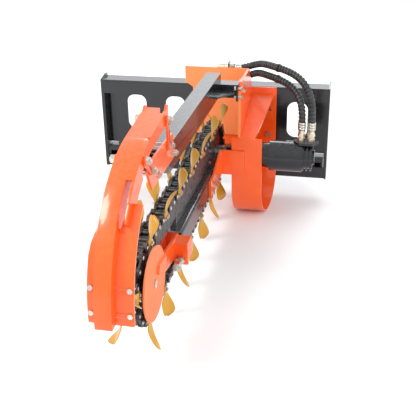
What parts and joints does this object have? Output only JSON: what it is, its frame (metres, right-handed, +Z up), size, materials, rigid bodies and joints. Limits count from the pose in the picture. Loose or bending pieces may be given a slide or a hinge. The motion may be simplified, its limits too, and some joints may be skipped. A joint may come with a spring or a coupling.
{
  "type": "skid-steer chain trencher attachment",
  "caption": "Chain trencher attachment: coupler frame, hydraulic drive head, boom with digging chain and idler, and a curved crumber on a support beam.",
  "frame": {"origin": "on the floor, under the middle of the coupler frame's front face", "axes": "+X along the coupler frame (right when seen from the nose), +Y towards the loader, +Z up"},
  "size_m": [1.16, 1.9604, 0.8497],
  "materials": {
    "orange_paint": "gloss",
    "black_paint": "semi-gloss",
    "tooth_yellow": "satin",
    "zinc": "satin",
    "steel": "worn",
    "rubber": "matte",
    "plastic": "matte"
  },
  "bodies": {
    "frame": {"coupler_face": "black_paint", "coupler_top_rail": "black_paint", "coupler_bottom_lip": "black_paint", "coupler_end_plates": "black_paint", "coupler_ribs": "black_paint", "lock_pockets": "black_paint", "back_plate": "orange_paint", "spoil_shield": "orange_paint", "head_side_plate": "orange_paint", "head_brace": "orange_paint", "skid_band": "orange_paint", "boom_bracket": "orange_paint", "shaft_housing": "black_paint", "motor_body": "black_paint", "motor_valve_end": "black_paint", "hose_fittings": "zinc", "hose_left": "rubber", "hose_right": "rubber", "quick_couplers": "zinc", "coupler_holder": "black_paint", "head_bolts": "zinc", "boom_tube": "black_paint", "wear_rails": "steel", "idler_fork": "orange_paint", "idler_cheek": "orange_paint", "idler_axle": "zinc", "tension_screw": "zinc", "tension_nuts": "zinc", "beam_arm": "black_paint", "crumber_beam": "black_paint", "crumber_bracket": "orange_paint", "bracket_bolts": "zinc", "lower_pins": "zinc"},
    "sprocket": {"drive_shaft": "steel", "drive_sprocket": "steel", "head_chain_plates": "black_paint", "head_chain_rollers": "steel", "head_teeth": "tooth_yellow", "head_tooth_bolts": "zinc"},
    "idler": {"idler_wheel": "steel", "nose_chain_plates": "black_paint", "nose_chain_rollers": "steel", "nose_teeth": "tooth_yellow", "nose_tooth_bolts": "zinc"},
    "upper_run": {"upper_chain_plates": "black_paint", "upper_chain_rollers": "steel", "upper_teeth": "tooth_yellow", "upper_tooth_bolts": "zinc"},
    "lower_run": {"lower_chain_plates": "black_paint", "lower_chain_rollers": "steel", "lower_teeth": "tooth_yellow", "lower_tooth_bolts": "zinc"},
    "rear_link": {"rear_link": "orange_paint"},
    "front_link": {"front_link": "orange_paint"},
    "crumber": {"crumber_arm": "orange_paint", "crumber_shoe": "orange_paint", "shoe_liner": "plastic", "shoe_bolts": "zinc", "upper_pins": "zinc"}
  },
  "joints": [
    {"name": "drive", "type": "hinge", "parent": "frame", "child": "sprocket", "pos_m": [0.06, -0.2852, 0.322], "axis": [1, 0, 0], "range_deg": [-11.25, 11.25]},
    {"name": "idler_turn", "type": "hinge", "parent": "frame", "child": "idler", "pos_m": [0.06, -1.5044, 0.322], "axis": [1, 0, 0], "range_deg": [-11.25, 11.25]},
    {"name": "upper_run_carry", "type": "hinge", "parent": "sprocket", "child": "upper_run", "pos_m": [0.06, -0.2852, 0.4522], "axis": [1, 0, 0], "range_deg": [-11.25, 11.25]},
    {"name": "lower_run_carry", "type": "hinge", "parent": "sprocket", "child": "lower_run", "pos_m": [0.06, -0.2852, 0.1918], "axis": [1, 0, 0], "range_deg": [-11.25, 11.25]},
    {"name": "crumber_swing", "type": "hinge", "parent": "frame", "child": "rear_link", "pos_m": [0.06, -1.2524, 0.7122], "axis": [1, 0, 0], "range_deg": [-6, 8]},
    {"name": "front_link_swing", "type": "hinge", "parent": "frame", "child": "front_link", "pos_m": [0.06, -1.4774, 0.7122], "axis": [1, 0, 0], "range_deg": [-9.34, 12.45]},
    {"name": "crumber_level", "type": "hinge", "parent": "rear_link", "child": "crumber", "pos_m": [0.06, -1.26222, 0.80568], "axis": [1, 0, 0], "range_deg": [-5.83, 4.37]}
  ],
  "couplings": [
    {"joint": "idler_turn", "follows": "drive", "ratio": 1},
    {"joint": "upper_run_carry", "follows": "drive", "ratio": -1},
    {"joint": "lower_run_carry", "follows": "drive", "ratio": -1},
    {"joint": "front_link_swing", "follows": "crumber_swing", "ratio": 1.556},
    {"joint": "crumber_level", "follows": "crumber_swing", "ratio": -0.729}
  ]
}
